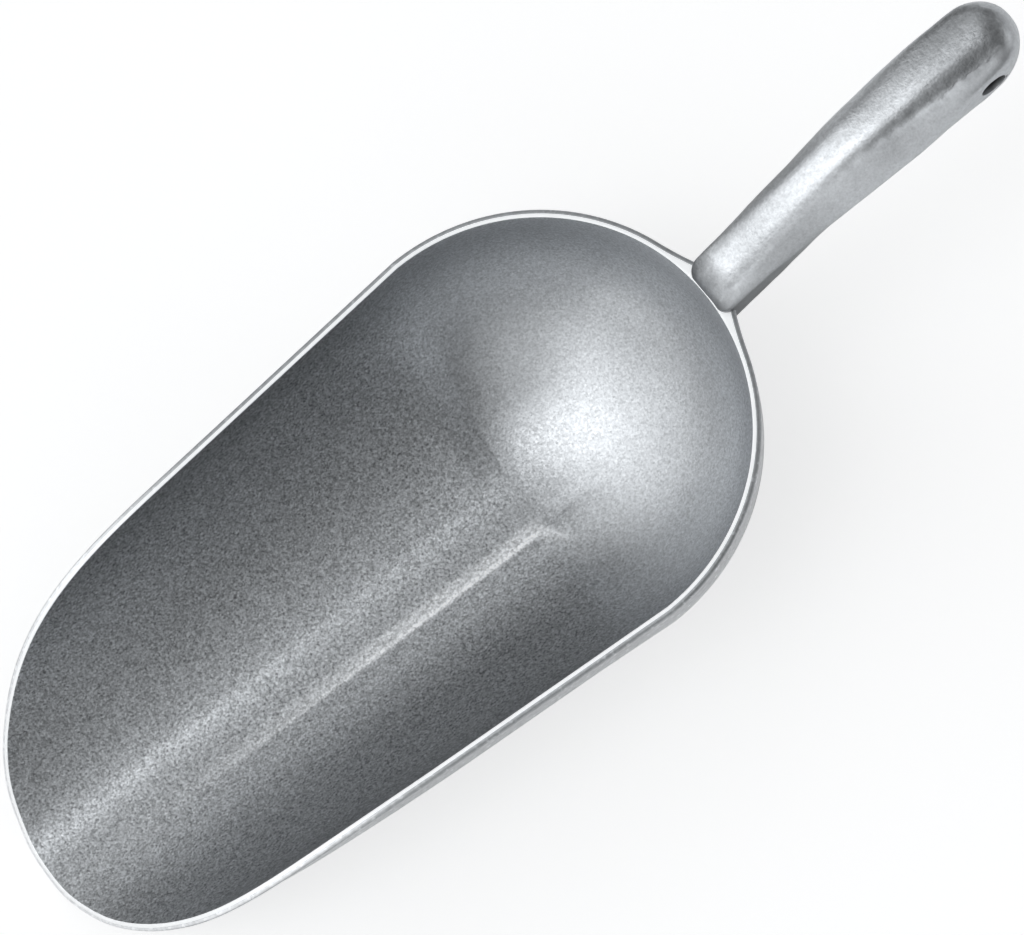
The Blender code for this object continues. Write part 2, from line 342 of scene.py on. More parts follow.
class Sheet:
    """The trough's inside or outside as a surface over (x, length from the spine)."""

    def __init__(self, offset, short):
        self.offset = offset
        self.short = short
        self.xs = np.arange(-192.0, 1.0, 1.0)
        profiles = [offset_profile(trough_section(x), offset) for x in self.xs]
        self.y = np.array([p[0] for p in profiles])
        self.z = np.array([p[1] for p in profiles])

    def at(self, x, s):
        fx = np.clip((x - self.xs[0]) / (self.xs[1] - self.xs[0]), 0, len(self.xs) - 1.001)
        i = fx.astype(int)
        u = fx - i
        fs = np.clip(s / STEP, 0, len(REACH_S) - 1.001)
        k = fs.astype(int)
        v = fs - k

        def mix(a):
            lo = a[i, k] * (1 - v) + a[i, k + 1] * v
            hi = a[i + 1, k] * (1 - v) + a[i + 1, k + 1] * v
            return lo * (1 - u) + hi * u

        return np.stack([x, mix(self.y), mix(self.z)], axis=-1)

    def side(self, x):
        """Side of the parallel section at x."""
        y, z = offset_profile(trough_section(x), self.offset)
        cut = trim_length(np.full(len(y), x), y, z)
        return wall_side(lambda s: self.at(np.full_like(s, x), s), cut, self.short)

    def rim_track(self, count):
        """Evenly spaced (x, length) along the cut, from the lip's middle to the last ray."""
        rho = np.arange(0.0, 120.0, 0.25)
        track = []
        for angle in np.linspace(0.0, math.pi / 2, 260):
            points = self.at(POLE - rho * math.cos(angle), rho * math.sin(angle))
            reach = first_crossing(rho, points[:, 2] - cut_height(points[:, 0], points[:, 1]))
            track.append((POLE - reach * math.cos(angle), reach * math.sin(angle)))
        track = np.array(track)
        lengths = arc_lengths(self.at(track[:, 0], track[:, 1]))
        wanted = np.linspace(0.0, 1.0, count) * lengths[-1]
        return [np.interp(wanted, lengths, track[:, k]) for k in range(2)]

    def ray(self, x_end, s_end, shares):
        """Side along a ray from the pole to the cut."""
        edge = self.at(x_end, s_end)
        dx, ds = x_end - POLE, s_end
        length = math.hypot(dx, ds)
        reach = (length - self.short) / length
        points = self.at(POLE + dx * shares * reach, ds * shares * reach)
        last = self.at(POLE + dx * reach, ds * reach)
        return points, edge, unit(last - edge)


def back_side(profile, way, short):
    """Side of a profile standing in the plane that runs from the floor's end along way."""
    y, z = profile

    def at(s):
        reach = np.interp(s, REACH_S, y)
        height = np.interp(s, REACH_S, z)
        return np.stack([FLOOR_END + way[0] * reach, way[1] * reach, height], axis=-1)

    cut = trim_length(FLOOR_END + way[0] * y, way[1] * y, z)
    return wall_side(at, cut, short)


def web_width(y):
    """How far the web stands out behind the rim: hollow curve, widest at the handle."""
    t = np.clip((abs(y) - WEB_Y[0]) / (WEB_Y[1] - WEB_Y[0]), 0.0, 1.0)
    return WEB_WIDTH * (1.0 - t) ** 2.1


def rim_curve(inner, inner_down, outer, outer_down, web):
    """From the inside surface, over the ground land and the outer edge, to the outside wall.

    inner and outer are the two edges of the ground cut; web is how far a flat web stands out
    behind the rim there."""
    width = np.linalg.norm(outer - inner)
    across = (outer - inner) / width
    down = outer_down
    land_start = inner + across * RIM_BEVEL
    land_end = inner + across * (min(LAND, width * 0.68) + web * 0.97)
    bevel = bezier(inner + inner_down * RIM_BEVEL, inner, land_start, BEVEL_POINTS)
    land = line(land_start, land_end, LAND_POINTS)

    brim = outer + across * web
    side_top = brim + down * EDGE_ROUND
    side_foot = brim + down * (EDGE_ROUND + EDGE_SIDE)
    under = min(web / 0.6, 1.0)
    bend = brim + down * 3.9 - across * web * 0.25 * under
    foot = outer + down * (5.4 + 0.15 * web)
    tail = [
        bezier(land_end, brim, side_top, 12),
        line(side_top, side_foot, 6)[1:],
        bezier(side_foot, bend, foot, 12)[1:],
        line(foot, outer + down * WEB_DEPTH, 6)[1:],
    ]
    shares = np.linspace(0.0, 1.0, RIM_POINTS - EDGE_FIRST)
    return np.concatenate([bevel[:-1], land[:-1], resample(np.concatenate(tail), shares)])


def join_row(inner, outer, web=0.0):
    """One row of points: up the inside, over the rim and down the outside."""
    inner_points, inner_edge, inner_down = inner
    outer_points, outer_edge, outer_down = outer
    rim = rim_curve(inner_edge, inner_down, outer_edge, outer_down, web)
    return np.concatenate([inner_points[:-1], rim, outer_points[::-1][1:]])


def lip_rows(sheets):
    """Rays from a point on the floor out to the rim."""
    count = 46
    tracks = [sheet.rim_track(count) for sheet in sheets]
    lengths = spread(tracks[0][1][-1])
    shares = lengths / lengths[-1]
    return [
        join_row(*(sheet.ray(xs[k], ss[k], shares) for sheet, (xs, ss) in zip(sheets, tracks)))
        for k in range(count)
    ]


def trough_rows(sheets):
    """Parallel sections."""
    count = 105
    stations = [POLE + (FLOOR_END - POLE) * k / count for k in range(1, count + 1)]
    return [join_row(*(sheet.side(x) for sheet in sheets)) for x in stations]


def back_rows(sheets):
    """The last of the straight wall, then the half circle, as rays from the floor's end."""
    ends = [(x, HALF_WIDTH + TAPER * x) for x in (FLOOR_END * 0.66, FLOOR_END * 0.33, 0.0)]
    angles = np.concatenate(
        [np.linspace(0.0, 62.0, 34)[1:], np.linspace(62.0, 90.0, 46)[1:]]
    )
    ends += [(HALF_WIDTH * math.sin(a), HALF_WIDTH * math.cos(a)) for a in np.radians(angles)]
    rows = []
    for x, y in ends:
        dx = x - FLOOR_END
        reach = math.hypot(dx, y)
        profile = back_section(reach, math.degrees(math.atan2(dx, y)))
        way = (dx / reach, y / reach)
        inner, outer = (
            back_side(offset_profile(profile, sheet.offset), way, sheet.short)
            for sheet in sheets
        )
        rows.append(join_row(inner, outer, web_width(outer[1][1]) if x > 30.0 else 0.0))
    return rows


# ---- the bowl's unevenness, and its painted light and shade ----------------------------------
# x and how much of the painted highlight line along the crease shows there
PAINTED_GLINT_ALONG = (
    (-145.0, 0.0), (-125.0, 0.16), (-108.0, 0.36), (-86.0, 0.56),
    (-69.0, 0.84), (-50.0, 1.0), (-12.5, 1.0), (-9.0, 0.0),
)
# Patches of painted shade (+) and painted light (-) on the dish: x, width in x, y, width in y,
# amount
PAINTED_DISH_SHADING = (
    (-1.0, 7.0, 1.0, 11.0, 0.17),
    (19.0, 11.0, 1.0, 20.0, -0.22),
    (31.0, 11.0, 25.0, 12.0, -0.28),
)
# y and how far the lip stands forward there
LIP_AHEAD = (
    (0, 0), (14, 0.2), (21, 0.5), (28, 0.9), (34, 1.1), (42, 0.7), (50, 0.2), (58, 0),
)
# Strength of the painted shade on the rounded corner at the rim points just past the land, or
# of the painted highlight there towards the lip
CORNER = (0.6, 1.0, 1.0, 0.9, 0.5)


def joint_hook(p):
    """Height of a soft step on the lower wall where the trough meets the dish."""
    x, y, z = p[..., 0], p[..., 1], p[..., 2]
    joint = -10.5 + (y - 9.0) * 0.55
    rise = ease(x, joint - 1.6, joint + 1.6) * fall(x, joint + 2.0, joint + 22.0)
    near = ease(y, 8.0, 10.5) * fall(y, 12.5, 21.0)
    return 0.32 * rise * near * ease(z, -1.0, -0.2)


def painted_crease_highlight(co):
    """Strength of the painted highlight along the edge of the floor strip on the -Y side, 0 to
    1.
    """
    x, y, z = shape_mm(co)
    if y > -4.0 or y < -24.0 or z < -0.6 or z > 6.0:
        return 0.0
    beyond = -y - (FLOOR_HALF + FLOOR_TAPER * min(x, 0.0))
    painted_glint = 0.75 * bell(beyond - 0.3, 0.75)
    painted_glint += 0.42 * fall(beyond, -0.2, 1.2) * ease(beyond, -4.6, -3.0)
    painted_glint *= look_up(x, PAINTED_GLINT_ALONG)
    # The painted highlight's short hook at its end, along the joint with the dish.
    t = min(max((-y - 9.0) / 8.0, 0.0), 1.0)
    hook_x, hook_y = -11.5 + 6.0 * t**1.3, -9.0 - 8.0 * t
    away = math.hypot(x - hook_x, (y - hook_y) * 0.8)
    hook = 0.62 * bell(away, 2.0) * (1.0 - t) ** 0.8 * ease(beyond, -3.0, -0.5)
    return min(1.0, max(painted_glint, hook))


def painted_inside_shading(co):
    """How much painted shade darkens the inside there, or painted light brightens it when
    negative, against plain metal.
    """
    x, y, _ = shape_mm(co)
    high = ease(-y, 12.0, 36.0) if y < 0.0 else 0.7 * ease(y, 38.0, 54.0)
    spine = 0.10 * fall(abs(y + 6.0), 4.0, 10.0) + 0.11 * fall(abs(y), 1.5, 7.5)
    painted_shading = (0.31 * high + spine) * fall(x, -38.0, 16.0)
    for px, x_width, py, y_width, amount in PAINTED_DISH_SHADING:
        painted_shading += amount * bell(x - px, x_width) * bell(y - py, y_width)
    return painted_shading


def twisted(p):
    """Hand-made unevenness: the front turns a little about the spine and its floor leans to
    +Y, and the lip stands a millimetre further forward on the +Y side."""
    x, y, z = p[..., 0], p[..., 1], p[..., 2]
    a = TWIST * ease(-x, *TWIST_X)
    z = z - LEAN * y * bell(y, 23.0) * ease(-x, 85.0, 165.0)
    x = x - look_up(y, LIP_AHEAD) * ease(-x, 105.0, 150.0)
    # Nothing reaches below the plane the scoop rests on.
    z, y = np.maximum(z * np.cos(a) - y * np.sin(a), -WALL), y * np.cos(a) + z * np.sin(a)
    return np.stack([x, y, z], -1)


def build_bowl():
    """Closed mesh of both halves; material 0 is the inside, 1 the land, 2 the outside."""
    sheets = (Sheet(offset=0.0, short=RIM_BEVEL), Sheet(offset=WALL, short=WEB_DEPTH))
    rows = np.array(lip_rows(sheets) + trough_rows(sheets) + back_rows(sheets))
    inside_count = len(spread(0.0)) - 1
    edge_first = inside_count + EDGE_FIRST

    # The inside of the dish moves towards the lip; the step is on the -Y side only.
    inner = rows[:, :inside_count, :]
    away = ((inner[..., 0] - FLOOR_END) ** 2 + inner[..., 1] ** 2) / 26.0**2
    inner[..., 0] -= DISH_SHIFT * np.exp(-0.5 * away) * ease(inner[..., 0], -60.0, -20.0)
    hook = np.zeros(rows.shape)
    hook[:, :inside_count, 2] = joint_hook(inner)

    bm = bmesh.new()
    painted_corner_shade = bm.verts.layers.float.new("painted_corner_shade")
    pale = bm.verts.layers.float.new("pale")
    for side in (1.0, -1.0):
        grid = []
        moved = (rows + (hook if side < 0 else 0.0)) * np.array([1.0, side, 1.0])
        for row in twisted(moved):
            verts = [bm.verts.new(p) for p in world(row)]
            # Painted shade darkens the rounded corner outside the land, and a painted highlight
            # makes it pale towards the lip.
            for k, amount in enumerate(CORNER, start=edge_first):
                lip = ease(-row[k][0], 60.0, 135.0)
                verts[k][painted_corner_shade] = amount * (1.0 - lip)
                verts[k][pale] = amount * lip
            grid.append(verts)
        for a, b in zip(grid, grid[1:]):
            for k in range(len(a) - 1):
                quad = (a[k], a[k + 1], b[k + 1], b[k])
                face = bm.faces.new(quad if side > 0 else quad[::-1])
                face.material_index = int(k >= inside_count) + int(k >= edge_first)
    bmesh.ops.remove_doubles(bm, verts=bm.verts, dist=2e-6)
    # Painted highlight along the crease, and painted shade and light on the inside, kept per
    # point.
    painted_glint = bm.verts.layers.float.new("painted_crease_highlight")
    painted_shading = bm.verts.layers.float.new("painted_shading")
    for v in bm.verts:
        v[painted_glint] = painted_crease_highlight(v.co)
        v[painted_shading] = painted_inside_shading(v.co)
    if any(f.calc_area() < 1e-13 for f in bm.faces):
        bmesh.ops.dissolve_degenerate(bm, dist=1e-6, edges=bm.edges)
    bmesh.ops.recalc_face_normals(bm, faces=bm.faces)
    return finish_object("bowl_casting", bm)


# ---- handle ----------------------------------------------------------------------------------
# Stations along the handle: x and the value there, in millimetres
WIDE = (  # half width
    (62, 8.75), (76, 8.95), (87, 9.6), (98, 10.2), (109, 11.1), (119, 11.8), (130, 12.2),
    (141, 11.8), (150, 11.25), (157, 11.15),
)
CREASE_W = ((66, 4.6), (92, 4.1), (112, 4.0), (133, 4.9), (155, 6.2))  # crease from middle
CREASE_H = ((66, 1.4), (73, 2.0), (92, 6.3), (112, 9.0), (133, 7.8), (155, 6.6))
SIDE_DROP = (  # height of the flat side below the handle's level
    (66, 11.8), (80, 9.2), (88, 5.6), (98, 3.4), (122, 2.8), (138, 5.4), (152, 9.0),
)
KEEL = ((66, 4.2), (96, 5.0), (122, 6.2), (138, 5.0), (152, 3.8))  # depth below the side
FULLNESS = ((125, 1.25), (152, 1.7))  # exponent of the flank's curve
TUCK = ((66, 0.25), (90, 0.3), (110, 0.9), (138, 0.9), (152, 0.35))  # side leans in below

# The hole's turned profile at its -Y end: y and radius, with a small flare
HOLE_FLARE = ((-30.0, 5.1), (-13.6, 5.1), (-12.3, 4.6), (-11.8, 4.25), (-11.2, 4.05))


def along(x, table):
    """Smooth curve through a table of (x, value), level beyond its ends."""
    if x <= table[0][0]:
        return table[0][1]
    if x >= table[-1][0]:
        return table[-1][1]
    k = max(i for i in range(len(table) - 1) if table[i][0] <= x)

    def slope(i):
        lo, hi = max(i - 1, 0), min(i + 1, len(table) - 1)
        return (table[hi][1] - table[lo][1]) / (table[hi][0] - table[lo][0])

    (xa, va), (xb, vb) = table[k], table[k + 1]
    w = xb - xa
    t = (x - xa) / w
    return (
        va * (1 + 2 * t) * (1 - t) ** 2
        + slope(k) * w * t * (1 - t) ** 2
        + vb * t * t * (3 - 2 * t)
        - slope(k + 1) * w * t * t * (1 - t)
    )


def handle_level(x):
    return 70.5 + 0.43 * (x - 68.0) - 0.00125 * (x - 68.0) ** 2


HOLE_Z = handle_level(HOLE_X) + HOLE_RISE


def soften_loop(outline, soft):
    """Closed outline, evenly spaced and blurred round the loop, its width kept."""
    closed = np.concatenate([outline, outline[:1]])
    count = SECTION_POINTS * 4
    dense = resample(closed, np.arange(count) / count)
    sigma = soft / (arc_lengths(closed)[-1] / count)
    reach = int(3 * sigma) + 1
    kernel = gaussian(reach, sigma)
    wrapped = np.concatenate([dense[-reach:], dense, dense[:reach]])
    dense = np.stack([np.convolve(wrapped[:, k], kernel, mode="valid") for k in range(2)], -1)
    y = dense[:, 0]
    low, high = outline[:, 0].min(), outline[:, 0].max()
    dense[:, 0] *= np.where(y < 0.0, low / y.min(), high / y.max())
    return dense


def handle_section(x):
    """Closed outline (y, z) at x: crown, crease, sloped flank, side and rounded keel."""
    wide = along(x, WIDE)
    edge_h = along(x, CREASE_H)
    edge_w = along(x, CREASE_W)
    crown = edge_w * edge_w / 15.0
    rise = 4.7 * ease(x, 126.0, 152.0)  # the flat side stands higher round the hole
    drop = along(x, SIDE_DROP)
    keel = along(x, KEEL)
    full = along(x, FULLNESS)
    tuck = along(x, TUCK)
    top = edge_h + crown
    flank = wide - edge_w
    middle = (top - drop - keel) / 2.0

    # Half outlines from the crown's middle to the keel's middle, y positive.
    upper = [
        (edge_w * t, edge_h + crown * (1.0 - t * t)) for t in np.linspace(0.0, 1.0, 13)
    ]
    upper += [
        (
            edge_w + flank * (1.0 - (1.0 - t) ** full),
            rise + (edge_h - rise) * (1.0 - t**full),
        )
        for t in np.linspace(0.0, 1.0, 15)[1:]
    ]
    lower = [(wide - tuck * 0.15, -drop * 0.5), (wide - tuck, -drop)]
    for t in np.linspace(0.0, 1.0, 13)[1:-1]:
        a = t * math.pi / 2
        lower.append(((wide - tuck) * math.cos(a), -drop - keel * math.sin(a)))
    lower.append((0.0, -drop - keel))
    # The +Y side has no crease: one round sweep from the crown to the side.
    low = rise + 0.5
    sweep = [
        (wide * math.sin(a), low + (top - low) * math.cos(a) ** 0.92)
        for a in np.linspace(0.0, math.pi / 2, len(upper))
    ]
    minus, plus = np.array(upper + lower), np.array(sweep + lower)
    # Both sides reach equally far along a direction sloping up and outwards.
    slant = np.array([0.968, 0.244])
    plus[:, 0] *= (minus @ slant).max() / (plus @ slant).max()
    outline = np.concatenate([plus, (minus * [-1.0, 1.0])[::-1][1:-1]])

    dense = soften_loop(outline, HANDLE_SOFT + 2.6 * ease(x, 152.0, 166.0))
    dense[:, 1] += middle - (dense[:, 1].max() + dense[:, 1].min()) / 2.0
    y, z = dense[::4].T

    # Rounded cap at the tip.
    cap_x = max(0.0, (x - CAP_X) / CAP_RADIUS)
    cap_y = math.sqrt(1.0 - cap_x**2)
    cap_z = (1.0 - cap_x**2.5) ** 0.5
    z = handle_level(x) + middle + (z - middle) * cap_z
    # At the nose whatever stands above the rim is lowered.
    nose = math.sqrt(max(0.02, 1.0 - max(0.0, (70.2 - x) / 7.9) ** 2))
    rim = RIM_HEIGHT + RIM_SLOPE * x
    z = np.where(z > rim, rim + (z - rim) * nose, z)
    # Seen from above the nose has round corners.
    into = max(0.0, NOSE_ROUND - (x - NOSE_X))
    plan = (wide - NOSE_ROUND + math.sqrt(max(0.0, NOSE_ROUND**2 - into**2))) / wide
    return y * cap_y * plan, z


def handle_body():
    stations = [62.35, 62.5, 62.75, 63.1]
    stations += list(np.arange(63.6, 72.0, 0.5))
    stations += list(np.arange(72.0, CAP_X, 1.0))
    stations += [CAP_X + CAP_RADIUS * math.sin(math.pi / 2 * k / 24.0) for k in range(24)]
    bm = bmesh.new()
    loops = []
    for x in stations:
        y, z = handle_section(x)
        # The front follows the round back of the bowl.
        back = (HALF_WIDTH - np.sqrt(HALF_WIDTH**2 - y**2)) * fall(x, 62.0, 72.0)
        loops.append([bm.verts.new(p) for p in world(np.stack([x - back, y, z], axis=-1))])
    bridge(bm, loops)
    tip = loops[-1]
    centre = sum((v.co for v in tip), Vector()) / len(tip)
    end = bm.verts.new((world([HANDLE_END, 0, 0])[0], 0.0, centre.z))
    for k in range(len(tip)):
        bm.faces.new((tip[k - 1], tip[k], end))
    bm.faces.new(loops[0])
    bmesh.ops.recalc_face_normals(bm, faces=bm.faces)
    return finish_object("handle_casting", bm)


def hole_cutter():
    """Turned shape along Y: the hanging hole with a small flare at both ends."""
    profile = [*HOLE_FLARE, (-9.5, HOLE_RADIUS)]
    profile += [(-y, radius) for y, radius in reversed(profile)]
    bm = bmesh.new()
    count = 72
    turns = [2 * math.pi * k / count for k in range(count)]
    loops = []
    for y, radius in profile:
        ring = [
            (HOLE_X + radius * math.cos(a), y, HOLE_Z + radius * math.sin(a)) for a in turns
        ]
        loops.append([bm.verts.new(p) for p in world(ring)])
    bridge(bm, loops)
    bm.faces.new(loops[0])
    bm.faces.new(loops[-1])
    bmesh.ops.recalc_face_normals(bm, faces=bm.faces)
    return finish_object("hole_cutter", bm)


def cut_hole(handle):
    cutter = hole_cutter()
    mod = handle.modifiers.new("hanging hole", "BOOLEAN")
    mod.operation = "DIFFERENCE"
    mod.solver = "EXACT"
    mod.object = cutter
    bpy.context.view_layer.update()
    done = bpy.data.meshes.new_from_object(
        handle.evaluated_get(bpy.context.evaluated_depsgraph_get())
    )
    handle.modifiers.clear()
    handle.data = done
    handle.data.name = "handle_casting"
    bpy.data.objects.remove(cutter, do_unlink=True)


def make_wavy(obj, size, amount, seed):
    """As-cast surface: points move a little along their normals, by smooth noise (metres)."""
    mesh = obj.data
    co = np.zeros(len(mesh.vertices) * 3)
    normals = np.zeros(len(co))
    mesh.vertices.foreach_get("co", co)
    mesh.vertices.foreach_get("normal", normals)
    co, normals = co.reshape(-1, 3), normals.reshape(-1, 3)
    shift = np.array(
        [
            noise.noise(Vector(p) / size + Vector((seed, 0.7 * seed, 3.1)))
            + 0.45 * noise.noise(Vector(p) / (size * 0.42) + Vector((1.7, seed, 9.2)))
            for p in co
        ]
    )
    co += normals * (shift * amount)[:, None]
    mesh.vertices.foreach_set("co", co.ravel())
    mesh.update()


def grain_cover(x, y, edge, ragged, high):
    """1 where the crown's coarse grain lies, 0 on the -Y flank, the sides and below."""
    cover = fall(-y, edge - 0.9, edge + 0.9) * fall(y, 9.8, 11.8) * high
    if x > 156.0:  # the grain stops in an arc short of the tip
        reach = ((x - 156.0) / 9.6) ** 2.4 + (abs(y - 1.0 + 0.35 * ragged) / 9.6) ** 2.4
        cover *= fall(reach + 0.12 * ragged, 0.78, 1.22)
    return cover


def handle_finish(co):
    """Coarseness and painted light and shade of the handle's skin at a point, both from its
    place alone.
    """
    x, y, z = shape_mm(co)
    if math.hypot(x - HOLE_X, z - HOLE_Z) < 4.9 and abs(y) < 11.0:
        return 0.0, 0.22  # painted shade in the hole, which is smooth
    ragged = 1.1 * noise.noise(Vector((x, y, 5.0)) / 2.6)
    level = handle_level(x)
    edge = along(x, CREASE_W) + 0.3 + ragged
    high = ease(z, level - 1.0, level + 1.0) if x > 68.0 else 1.0
    coarse = grain_cover(x, y, edge, ragged, high)

    # Painted shade darkens the crown towards the tip, most of all in the hollow beside the
    # crease.
    crown = 1.0 + 0.10 * ease(x, 88.0, 106.0) - 0.42 * ease(x, 122.0, 150.0)
    end = ease(x, 128.0, 146.0)
    hollow = bell(-y - edge + 1.5 - 0.9 * end + 0.8 * ragged, 1.7 + 1.1 * end)
    hollow *= 0.34 * ease(x, 88.0, 118.0) * (1.0 + 0.5 * ragged) * high
    hollow *= fall(x, 157.0, 164.0)
    crown *= 1.0 - hollow * (1.0 - 0.75 * end)
    # Painted shade darkens the +Y shoulder and the crown's middle.
    crown *= 1.0 - (0.42 - 0.24 * ease(x, 100.0, 120.0)) * ease(y, 3.0, 7.2)
    inner = ease(-y, -1.8, 2.0) * (1.0 - 0.6 * ease(-y, edge - 3.0, edge))
    crown *= 1.0 - 0.28 * inner * ease(x, 108.0, 130.0)

    # Painted light brightens the flank away from the bowl; painted shade from the hollow
    # reaches it near the tip, and darkens a spot before the hole.
    flank = 1.0 + 0.34 * ease(x, 88.0, 108.0) - 0.08 * ease(x, 132.0, 150.0)
    flank *= 1.0 - 1.1 * hollow * end
    flank *= 1.0 - 0.36 * bell(x - 152.5, 7.5) * bell(-y - 7.4, 1.9)

    # Painted shade also darkens the blunt front and the undercut side at the root.
    front = 1.0 - 0.24 * ease(-x - 0.35 * ragged, -70.5, -63.8)
    under = 1.0 - 0.42 * ease(-z, -level, -level + 1.6) * fall(x, 78.0, 100.0)
    shade = (coarse * crown + (1.0 - coarse) * flank) * front * under
    # Near the bowl a painted highlight runs along the crease itself.
    painted_crease_sheen = bell(-y - edge + ragged - 0.2, 0.5) * high
    painted_crease_sheen *= ease(x, 66.0, 70.0) * fall(x, 90.0, 106.0)
    return coarse * (1.0 + 0.8 * end), shade + 0.12 * painted_crease_sheen


def build_handle():
    handle = handle_body()
    cut_hole(handle)
    make_wavy(handle, size=0.011, amount=0.00012, seed=4.0)
    finish = [handle_finish(v.co) for v in handle.data.vertices]
    for name, values in zip(("coarse", "shade"), zip(*finish)):
        layer = handle.data.attributes.new(name, "FLOAT", "POINT")
        layer.data.foreach_set("value", values)
    return handle


# ---- materials -------------------------------------------------------------------------------
class Nodes:
    """Short names for building a node tree."""

    def __init__(self, tree):
        self.tree = tree

    def new(self, kind, **props):
        node = self.tree.nodes.new(kind)
        for key, value in props.items():
            setattr(node, key, value)
        return node

    def put(self, socket, value):
        if hasattr(value, "is_output"):
            self.tree.links.new(value, socket)
        else:
            socket.default_value = value

    def calc(self, op, a, b=0.0, c=None, clamp=False):
        node = self.new("ShaderNodeMath", operation=op, use_clamp=clamp)
        self.put(node.inputs[0], a)
        self.put(node.inputs[1], b)
        if c is not None:
            self.put(node.inputs[2], c)
        return node.outputs[0]

    def add(self, a, plus):
        return self.calc("ADD", a, plus)

    def times(self, a, by, clamp=False):
        return self.calc("MULTIPLY", a, by, clamp=clamp)

    def centred(self, field):
        return self.calc("SUBTRACT", field, 0.5)

    def swing(self, field, amount):
        """A 0 to 1 field as a swing of amount about zero."""
        return self.times(self.centred(field), amount)

    def one_less(self, a):
        return self.calc("SUBTRACT", 1.0, a)


class Material(Nodes):
    def __init__(self, name):
        self.mat = bpy.data.materials.new(name)
        self.mat.use_nodes = True
        super().__init__(self.mat.node_tree)
        self.shader = self.tree.nodes["Principled BSDF"]
        self.coords = self.new("ShaderNodeTexCoord").outputs["Object"]

    def surface(self, name, value):
        self.put(self.shader.inputs[name], value)

    def glow(self, strength):
        self.surface("Emission Color", (1.0, 1.0, 1.0, 1.0))
        self.surface("Emission Strength", strength)

    def attribute(self, name):
        return self.new("ShaderNodeAttribute", attribute_name=name).outputs["Fac"]

    def noise(self, scale, detail=2.0, rough=0.5):
        node = self.new("ShaderNodeTexNoise")
        node.inputs["Scale"].default_value = scale
        node.inputs["Detail"].default_value = detail
        node.inputs["Roughness"].default_value = rough
        self.put(node.inputs["Vector"], self.coords)
        return node.outputs["Fac"]

    def cells(self, scale):
        """Two random values for each cell."""
        node = self.new("ShaderNodeTexVoronoi")
        node.inputs["Scale"].default_value = scale
        self.put(node.inputs["Vector"], self.coords)
        split = self.new("ShaderNodeSeparateColor")
        self.put(split.inputs[0], node.outputs["Color"])
        return split.outputs[0], split.outputs[1]

    def ramp(self, value, lo, hi, out_lo=0.0, out_hi=1.0):
        node = self.new("ShaderNodeMapRange", interpolation_type="SMOOTHSTEP")
        self.put(node.inputs["Value"], value)
        node.inputs["From Min"].default_value = lo
        node.inputs["From Max"].default_value = hi
        node.inputs["To Min"].default_value = out_lo
        node.inputs["To Max"].default_value = out_hi
        return node.outputs["Result"]

    def grey(self, value, tint=(1.0, 1.0, 1.0)):
        node = self.new("ShaderNodeCombineColor")
        for socket, share in zip(node.inputs, tint):
            self.put(socket, self.times(value, share))
        return node.outputs[0]

    def bump(self, height, strength, distance, normal=None):
        node = self.new("ShaderNodeBump")
        node.inputs["Strength"].default_value = strength
        node.inputs["Distance"].default_value = distance
        self.put(node.inputs["Height"], height)
        if normal is not None:
            self.put(node.inputs["Normal"], normal)
        return node.outputs["Normal"]


TINT = (0.965, 0.985, 1.01)  # cool grey of the cast skin
LAND_TINT = (0.985, 0.995, 1.0)


def inside_metal():
    """Fine sparkling as-cast finish of the bowl's inside."""
    n = Material("cast_aluminium_bowl_inside")
    grain = n.noise(scale=1350.0, detail=2.0, rough=0.65)
    flake, other = n.cells(scale=1500.0)
    broad = n.noise(scale=55.0, detail=3.0)
    # The dish is smoother than the trough.
    split = n.new("ShaderNodeSeparateXYZ")
    n.put(split.inputs[0], n.coords)
    lively = n.ramp(split.outputs[0], lo=0.052, hi=0.095, out_lo=1.0, out_hi=0.43)
    speck = n.add(n.swing(grain, amount=1.22), n.swing(flake, amount=0.32))
    speck = n.times(speck, lively)
    value = n.add(speck, plus=0.60)
    value = n.add(value, n.swing(broad, amount=0.05))
    # Painted highlight along the crease: lighter colour and a glow, with a little less metallic
    # and more roughness.
    painted_glint = n.attribute("painted_crease_highlight")
    patchy = n.ramp(n.noise(scale=500.0), lo=0.25, hi=0.7, out_lo=0.75, out_hi=1.0)
    painted_glint = n.times(painted_glint, patchy)
    value = n.add(value, n.times(painted_glint, by=0.20))
    # Painted shade makes the upright walls darker than the floor; painted light brightens
    # patches of the dish.
    value = n.times(value, n.one_less(n.attribute("painted_shading")), clamp=True)
    n.surface("Base Color", n.grey(value, TINT))
    n.surface("Metallic", n.one_less(n.times(painted_glint, by=0.35)))
    rough = n.calc("MULTIPLY_ADD", other, b=0.10, c=0.35)
    n.surface("Roughness", n.add(rough, n.times(painted_glint, by=0.12)))
    glow = n.times(n.add(n.times(speck, by=0.9), plus=1.0), PAINTED_GLINT_GLOW)
    n.glow(n.times(painted_glint, glow))
    height = n.add(grain, n.times(flake, by=0.2))
    height = n.times(height, n.add(lively, plus=0.15))
    n.surface("Normal", n.bump(height, strength=0.25, distance=0.00020))
    return n.mat


def land_metal():
    """Bright ground edge of the rim."""
    n = Material("ground_rim")
    grain = n.noise(scale=900.0)
    broad = n.noise(scale=120.0)
    value = n.calc("MULTIPLY_ADD", n.centred(grain), b=0.16, c=0.93)
    value = n.add(value, n.swing(broad, amount=0.06))
    n.surface("Base Color", n.grey(value, LAND_TINT))
    n.surface("Metallic", 0.35)
    n.surface("Roughness", 0.45)
    # Painted light: the ground land glows.
    n.glow(n.times(value, LAND_GLOW))
    n.surface("Normal", n.bump(grain, strength=0.25, distance=0.0001))
    return n.mat


